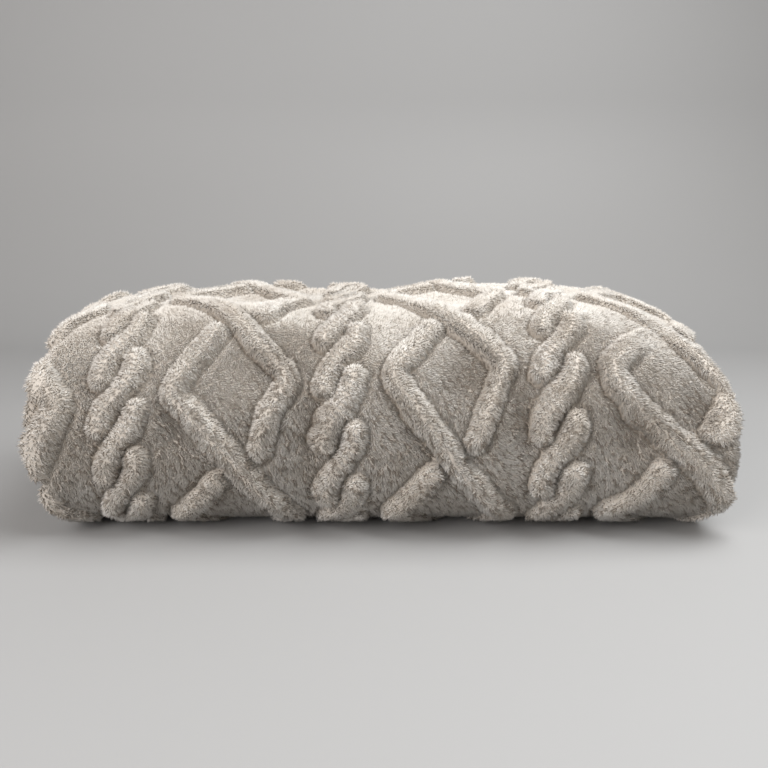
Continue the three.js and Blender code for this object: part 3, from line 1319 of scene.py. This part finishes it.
    def build(self, patch: Patch) -> bpy.types.Object:
        """The patch's tufts as one mesh of closed three-sided spikes.

        A tuft's foot is a small triangle under the surface. Its point is its root plus upright times
        length along the normal, plus lean times length along the flow, plus a share of the way to
        its clump's centre.

        Args:
            patch: Where the tufts stand.

        Returns:
            The mesh object, with the mark along, 0 at the foot and 1 at the point, for the painted
            foot shade, and the painted shade with the clump's own tone as its groove.
        """
        rng = np.random.default_rng(self.seed + sum(map(ord, patch.name)))
        roots = self.roots(patch, rng)
        count = len(roots.u)
        here, normal, right, up = self.frames(roots)
        length = self.lengths(roots, rng)
        flow = self.flow(roots, rng)
        lean = self.lean * length * rng.uniform(*self.lean_spread, count)
        to_centre, rim, tone = self.clumps.at(roots.x, roots.down)
        opened = smooth_step(roots.down, self.open_from, self.open_to)
        opened = self.closed_share + (1.0 - self.closed_share) * opened
        moved = lean[:, None] * flow + self.drawn * opened[:, None] * to_centre
        length = length * (1.0 - self.rim_cut * rim * opened)
        tip = here + normal * (self.upright * length)[:, None]
        tip = tip + right * moved[:, :1] - up * moved[:, 1:]
        foot = here - normal * self.sunk
        spin = rng.uniform(0.0, FULL_TURN, count)
        half = self.tuft_width / 2 * rng.uniform(*self.width_spread, count)
        corners = [
            foot
            + right * (half * np.cos(spin + k * FULL_TURN / 3))[:, None]
            + up * (half * np.sin(spin + k * FULL_TURN / 3))[:, None]
            for k in range(3)
        ]
        vertices = np.stack([*corners, tip], 1)
        vertices[..., 2] = np.maximum(vertices[..., 2], self.floor_gap)
        triangles = len(SPIKE_ALONG) * np.arange(count)[:, None, None] + np.array(SPIKE_FACES)
        # The groove mark carries the painted shade, with the clump's own tone.
        return new_object(
            patch.name,
            vertices.reshape(-1, 3),
            triangles.reshape(-1, 3),
            along=np.tile(SPIKE_ALONG, count),
            groove=np.repeat(self.shade(roots, opened, rim, tone), len(SPIKE_ALONG)),
        )


def add_node(tree: bpy.types.NodeTree, kind: str, **values: float) -> bpy.types.Node:
    """A new shader node with some of its inputs set.

    Args:
        tree: The node tree that it goes into.
        kind: Its type, without the word ShaderNode.
        values: Values by the input's name, with _ for a space.

    Returns:
        The node.
    """
    node = tree.nodes.new(f"ShaderNode{kind}")
    for name, value in values.items():
        node.inputs[name.replace("_", " ")].default_value = value
    return node


def add_math(tree: bpy.types.NodeTree, operation: str, second: float = 0.0) -> bpy.types.Node:
    """A new arithmetic node.

    Args:
        tree: The node tree that it goes into.
        operation: What it does with its two numbers.
        second: The second number, for where nothing is linked to it.

    Returns:
        The node.
    """
    node = add_node(tree, "Math")
    node.operation = operation
    node.inputs[1].default_value = second
    return node


def add_mix(tree: bpy.types.NodeTree) -> bpy.types.Node:
    """A new node that mixes two colours.

    Args:
        tree: The node tree that it goes into.

    Returns:
        The node.
    """
    node = add_node(tree, "Mix")
    node.data_type = "RGBA"
    return node


def link_all(tree: bpy.types.NodeTree, *links: Link) -> None:
    """Links each output to its input."""
    for source, target in links:
        tree.links.new(source, target)


@dataclass(frozen=True)
class MottleAndShade:
    """The plush's shades: two close ones mixed by noise, with painted shade at the foot and in the
    furrows.

    Attributes:
        broad_scale: Scale of the broad noise.
        broad_detail: Its detail.
        fine_scale: Scale of the fine noise.
        fine_detail: Its detail.
        shade_from: Sum of both noises where the dark shade starts.
        shade_to: Sum where it is whole.
        smooth: Roughness where the fine noise is 0.
        rough: Roughness where it is 1.
        groove_shade_share: Share of the painted groove shade's colour in a full groove.
        groove_shade_colour: Colour of the painted shade that a groove mixes in.
    """

    broad_scale: float = 22.0
    broad_detail: float = 3.0
    fine_scale: float = 900.0
    fine_detail: float = 2.0
    shade_from: float = 0.7
    shade_to: float = 1.3
    smooth: float = 0.82
    rough: float = 0.98
    groove_shade_share: float = 0.92
    groove_shade_colour: Colour = (0.31, 0.262, 0.212, 1.0)

    def group(self) -> bpy.types.NodeTree:
        """Shared node group: light and dark shade and the painted foot shade in; colour, roughness and
        height out.

        The share of the dark shade is the larger of the noise and the painted foot shade. The groove
        mark then mixes in the colour of its painted shade.

        Returns:
            The node group.
        """
        tree = bpy.data.node_groups.new("plush_mottle_and_shade", "ShaderNodeTree")
        sockets = (
            ("Light", "INPUT", "NodeSocketColor"),
            ("Dark", "INPUT", "NodeSocketColor"),
            ("Foot", "INPUT", "NodeSocketFloat"),
            ("Color", "OUTPUT", "NodeSocketColor"),
            ("Rough", "OUTPUT", "NodeSocketFloat"),
            ("Height", "OUTPUT", "NodeSocketFloat"),
        )
        for name, way, kind in sockets:
            tree.interface.new_socket(name, in_out=way, socket_type=kind)
        given, out = tree.nodes.new("NodeGroupInput"), tree.nodes.new("NodeGroupOutput")
        place = add_node(tree, "TexCoord")
        broad = add_node(tree, "TexNoise", Scale=self.broad_scale, Detail=self.broad_detail)
        fine = add_node(tree, "TexNoise", Scale=self.fine_scale, Detail=self.fine_detail)
        both = add_math(tree, "ADD")
        shade = add_node(tree, "MapRange", From_Min=self.shade_from, From_Max=self.shade_to)
        # The painted shade at a tuft's foot wins where it is darker than the noise.
        foot = add_math(tree, "MAXIMUM")
        # The groove mark mixes in the painted shade's dark colour.
        groove = add_node(tree, "Attribute")
        groove.attribute_name = "groove"
        deep = add_math(tree, "MULTIPLY", self.groove_shade_share)
        mix, darken = add_mix(tree), add_mix(tree)
        darken.inputs["B"].default_value = self.groove_shade_colour
        rough = add_node(tree, "MapRange", To_Min=self.smooth, To_Max=self.rough)
        link_all(
            tree,
            (place.outputs["Object"], broad.inputs["Vector"]),
            (place.outputs["Object"], fine.inputs["Vector"]),
            (broad.outputs["Fac"], both.inputs[0]),
            (fine.outputs["Fac"], both.inputs[1]),
            (both.outputs[0], shade.inputs["Value"]),
            (shade.outputs["Result"], foot.inputs[0]),
            (given.outputs["Foot"], foot.inputs[1]),
            (foot.outputs[0], mix.inputs["Factor"]),
            (given.outputs["Light"], mix.inputs["A"]),
            (given.outputs["Dark"], mix.inputs["B"]),
            (groove.outputs["Fac"], deep.inputs[0]),
            (deep.outputs[0], darken.inputs["Factor"]),
            (mix.outputs["Result"], darken.inputs["A"]),
            (darken.outputs["Result"], out.inputs["Color"]),
            (fine.outputs["Fac"], rough.inputs["Value"]),
            (rough.outputs["Result"], out.inputs["Rough"]),
            (fine.outputs["Fac"], out.inputs["Height"]),
        )
        return tree


@dataclass(frozen=True)
class PlushFinish:
    """Plush of one shade, on the ground of the cloth or on its pile.

    Attributes:
        name: Name of the material.
        light: Its light shade.
        dark: Its dark shade, mixed in by the noise, and on the pile also the painted shade at a tuft's
            foot.
        bump: Strength of the fine bumps.
        sheen: Weight of the sheen.
        has_foot_shade: Whether painted shade darkens it towards the foot by the mark along.
        sheen_roughness: Roughness of the sheen.
        specular: Level of the gloss.
        bump_distance: Height of the fine bumps.
        foot_shade_end: How far along a tuft the painted foot shade ends.
    """

    name: str
    light: Colour
    dark: Colour
    bump: float
    sheen: float
    has_foot_shade: bool
    sheen_roughness: float = 0.5
    specular: float = 0.2
    bump_distance: float = 0.001
    foot_shade_end: float = 0.5

    def material(self, group: bpy.types.NodeTree) -> bpy.types.Material:
        """The finish as a material.

        Args:
            group: The shared node group of noise colours and painted shade.

        Returns:
            The material.
        """
        material, shader = plain_material(self.name)
        shader.inputs["Sheen Weight"].default_value = self.sheen
        shader.inputs["Sheen Roughness"].default_value = self.sheen_roughness
        shader.inputs["Specular IOR Level"].default_value = self.specular
        tree = material.node_tree
        mottle_and_shade = add_node(tree, "Group")
        mottle_and_shade.node_tree = group
        mottle_and_shade.inputs["Light"].default_value = self.light
        mottle_and_shade.inputs["Dark"].default_value = self.dark
        bump = add_node(tree, "Bump", Strength=self.bump, Distance=self.bump_distance)
        # Painted shade at a tuft's foot, fading out along it.
        if self.has_foot_shade:
            along = add_node(tree, "Attribute")
            along.attribute_name = "along"
            foot = add_node(tree, "MapRange", From_Max=self.foot_shade_end, To_Min=1.0, To_Max=0.0)
            link_all(
                tree,
                (along.outputs["Fac"], foot.inputs["Value"]),
                (foot.outputs["Result"], mottle_and_shade.inputs["Foot"]),
            )
        link_all(
            tree,
            (mottle_and_shade.outputs["Color"], shader.inputs["Base Color"]),
            (mottle_and_shade.outputs["Rough"], shader.inputs["Roughness"]),
            (mottle_and_shade.outputs["Height"], bump.inputs["Height"]),
            (bump.outputs["Normal"], shader.inputs["Normal"]),
        )
        return material


# The ground sheet is darker than the pile: painted shade deep among the tufts.
GROUND_IN_SHADE = PlushFinish(
    name="plush_ground_in_shade",
    light=(0.66, 0.61, 0.55, 1),
    dark=(0.56, 0.51, 0.45, 1),
    bump=0.6,
    sheen=0.1,
    has_foot_shade=False,
)
PILE = PlushFinish(
    name="plush_pile",
    light=(0.89, 0.865, 0.825, 1),
    dark=(0.66, 0.605, 0.54, 1),
    bump=0.3,
    sheen=0.2,
    has_foot_shade=True,
)


@dataclass
class Throw:
    """The throw: its folded cloth, with the pile that stands on all the faces that show.

    Attributes:
        cloth: The folded cloth.
        node: The solid that the cloth replaces.
        body: The body that every piece rides on.
        slot: Not used.
        front_spacing: Distance between tufts on the front.
        top_spacing: The same on the top.
        back_spacing: The same on the upper fold at the back.
        lower_back_spacing: The same on the lower fold at the back.
        end_spacing: The same at the two ends.
        under_front: How far under the lower front bend the front's pile starts.
        left_reach: How far the left end's pile reaches onto the first third.
        probe_spacings: Spacing of the columns that find the cloth's box, on each leg of the section.
        probe_rows: Rows that find it.
    """

    cloth: FoldedCloth = field(default_factory=FoldedCloth)
    node: str = "throw_cloth"
    body: str = "root"
    slot: str = "plush"
    front_spacing: float = 0.00128
    top_spacing: float = 0.00142
    back_spacing: float = 0.00195
    lower_back_spacing: float = 0.0022
    end_spacing: float = 0.0019
    under_front: float = 0.012
    left_reach: float = 0.004
    probe_spacings: tuple[float, ...] = (0.02, 0.004, 0.004, 0.004, 0.02)
    probe_rows: int = 80

    def patches(self) -> list[Patch]:
        """Where pile stands: the front in three parts, the top, the back and the two ends.

        Returns:
            The patches, one for each piece of pile.
        """
        section, roll = self.cloth.section.ends, self.cloth.roll.ends
        left, right = section[SectionLeg.LEFT_TURN], section[SectionLeg.LAST_THIRD]
        third = (right - left) / 3
        low, high = roll[RollLeg.LOWER_FRONT] - self.under_front, roll[RollLeg.TOP]
        fold, inner = roll[RollLeg.BACK_FOLD], roll[RollLeg.INNER_TOP]
        tail_end, bottom = roll[RollLeg.BACK_TURN], roll[RollLeg.BOTTOM]
        front = (
            ("pile_front_left", left, left + third),
            ("pile_front_middle", left + third, right - third),
            ("pile_front_right", right - third, right),
        )
        sides = (
            ("left", left - self.left_reach, section[SectionLeg.SHOWN_THIRD]),
            ("right", section[SectionLeg.RIGHT_TURN], right),
        )
        parts = (
            ("foot", bottom, low),
            ("tail", roll[RollLeg.UPPER_TAIL], tail_end),
            ("end", inner, roll[RollLeg.END]),
        )
        return [
            *(Patch(name, start, end, low, high, self.front_spacing) for name, start, end in front),
            Patch("pile_top", left, right, high, fold, self.top_spacing),
            Patch("pile_back", left, right, fold, inner, self.back_spacing),
            Patch("pile_lower_back", left, right, tail_end, bottom, self.lower_back_spacing),
            *(
                Patch(f"pile_{side}_{part}", *along_section, *along_roll, self.end_spacing)
                for part, *along_roll in parts
                for side, *along_section in sides
            ),
        ]

    def place(self) -> None:
        """Sets the cloth over the solid: centred along it, and with its front at the solid's front."""
        u = self.cloth.section.stops(self.probe_spacings)
        roll = self.cloth.roll.ends
        v = np.linspace(roll[RollLeg.LOWER_FRONT], roll[RollLeg.TOP], self.probe_rows)
        front = self.cloth.points(*np.meshgrid(u, v), Side.OUTER)
        low, high = front.min((0, 1)), front.max((0, 1))
        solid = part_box(self.node)[0]
        self.cloth.shift = np.array([-(low[0] + high[0]) / 2, float(solid[1]) - low[1], 0.0])

    def build(self) -> None:
        """Builds and dresses every piece, logs its triangles and sets it on the body."""
        group = MottleAndShade().group()
        self.place()
        vertices, triangles, groove = self.cloth.mesh()
        # The sheet's groove mark is its painted shade in the furrows.
        sheet = new_object("folded_cloth", vertices, triangles, groove=groove)
        sheet.data.materials.append(GROUND_IN_SHADE.material(group))
        pile, finish = Pile(self.cloth), PILE.material(group)
        tufts = [pile.build(patch) for patch in self.patches()]
        for piece in tufts:
            piece.data.materials.append(finish)
        for piece in [sheet, *tufts]:
            log.info("%s: %d triangles", piece.name, len(piece.data.polygons))
            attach(piece, self.body)
        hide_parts(self.node)


@dataclass(frozen=True)
class Lamp:
    """A square area light.

    Attributes:
        name: Its name.
        place: Where it hangs.
        side: Length of its side.
        power: Its power in watts.
        colour: Its colour.
    """

    name: str
    place: Place
    side: float
    power: float
    colour: tuple[float, float, float]

    def build(self, aim: Place) -> None:
        """Hangs the light.

        Args:
            aim: What it points at.
        """
        data = bpy.data.lights.new(self.name, "AREA")
        data.size, data.energy, data.color = self.side, self.power, self.colour
        lamp = bpy.data.objects.new(self.name, data)
        lamp.location = self.place
        lamp.rotation_euler = (Vector(aim) - Vector(self.place)).to_track_quat("-Z", "Y").to_euler()
        bpy.context.collection.objects.link(lamp)


@dataclass
class Studio:
    """Plain floor, soft lights and the camera of the picture.

    Attributes:
        eye_x: Place of the camera along the bundle.
        eye_height: Its height.
        eye_distance: Its distance from the solid's front.
        picture: Width and height of the picture in pixels.
        focal: Focal length in pixels.
        horizon: Row of the picture at the camera's own height.
        sensor: Width of the camera's sensor in millimetres.
        clip_start: Nearest distance that the camera sees.
        floor_size: How far the floor reaches to each side, and up where it stands.
        floor_back: Where its bend starts.
        floor_bend: Radius of the bend.
        floor_gap: How far it lies under the throw.
        bend_spacing: Spacing of its mesh in the bend.
        floor_colour: Its colour.
        floor_roughness: Its roughness.
        surround_colour: Colour of the even light all round.
        surround_strength: Its strength.
        aim: What the lights point at.
        lamps: The lights.
    """

    eye_x: float
    eye_height: float = 0.3067
    eye_distance: float = 0.670
    picture: float = 768.0
    focal: float = 840.0
    horizon: float = 183.0
    sensor: float = 36.0
    clip_start: float = 0.01
    floor_size: float = 5.0
    floor_back: float = 0.75
    floor_bend: float = 0.5
    floor_gap: float = 0.0002
    bend_spacing: float = 0.02
    floor_colour: Colour = (0.42, 0.42, 0.42, 1)
    floor_roughness: float = 0.55
    surround_colour: Colour = (0.64, 0.61, 0.575, 1)
    surround_strength: float = 0.42
    aim: Place = (0.0, 0.0, 0.1)
    lamps: tuple[Lamp, ...] = (
        Lamp("key", (0.60, -0.22, 1.22), side=1.1, power=22.5, colour=(0.98, 0.988, 0.99)),
        Lamp("fill", (-1.2, -1.4, 1.0), side=1.3, power=28.0, colour=(1.0, 0.968, 0.955)),
    )

    def floor(self) -> None:
        """A plain floor just under the throw that curves up behind it, as a sheet of card does."""
        bend = Line((-self.floor_size, -self.floor_gap), 0.0, [
            Leg(self.floor_size + self.floor_back),
            Leg.bend(QUARTER_TURN, self.floor_bend),
            Leg(self.floor_size),
        ])
        profile = bend.at(bend.stops((self.floor_size, self.bend_spacing, self.floor_size)))[0]
        sides = np.array([-self.floor_size, self.floor_size])
        x, y = np.meshgrid(sides, profile[:, 0])
        z = np.repeat(profile[:, 1:], 2, 1)
        ids = np.arange(x.size).reshape(x.shape)
        floor = new_object("studio_floor", np.stack([x, y, z], -1).reshape(-1, 3), quads(ids))
        material, shader = plain_material("studio_floor")
        shader.inputs["Base Color"].default_value = self.floor_colour
        shader.inputs["Roughness"].default_value = self.floor_roughness
        floor.data.materials.append(material)

    def lights(self) -> None:
        """A soft key from above on the right, a fill from the front left and an even surround."""
        for lamp in self.lamps:
            lamp.build(self.aim)
        world = bpy.data.worlds.new("studio_surround")
        world.use_nodes = True
        surround = world.node_tree.nodes["Background"]
        surround.inputs["Color"].default_value = self.surround_colour
        surround.inputs["Strength"].default_value = self.surround_strength
        bpy.context.scene.world = world

    def camera(self) -> None:
        """The camera of the picture: its height, distance, tilt and angle of view."""
        data = bpy.data.cameras.new("camera")
        data.sensor_width = self.sensor
        data.lens = self.focal / self.picture * data.sensor_width
        data.clip_start = self.clip_start
        eye = bpy.data.objects.new("camera", data)
        tilt = math.atan2(self.picture / 2 - self.horizon, self.focal)
        eye.location = (self.eye_x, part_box("throw_cloth")[0][1] - self.eye_distance, self.eye_height)
        eye.rotation_euler = (QUARTER_TURN - tilt, 0.0, 0.0)
        bpy.context.collection.objects.link(eye)
        bpy.context.scene.camera = eye

    def build(self) -> None:
        """Floor, lights and camera."""
        self.floor()
        self.lights()
        self.camera()
        bpy.context.scene.view_settings.view_transform = "Standard"


def main() -> None:
    """Builds the throw, then the studio round it."""
    logging.basicConfig(level=logging.INFO, format="%(name)s %(message)s")
    throw = Throw()
    throw.build()
    Studio(eye_x=float(throw.cloth.shift[0])).build()


if __name__ == "__main__":
    main()
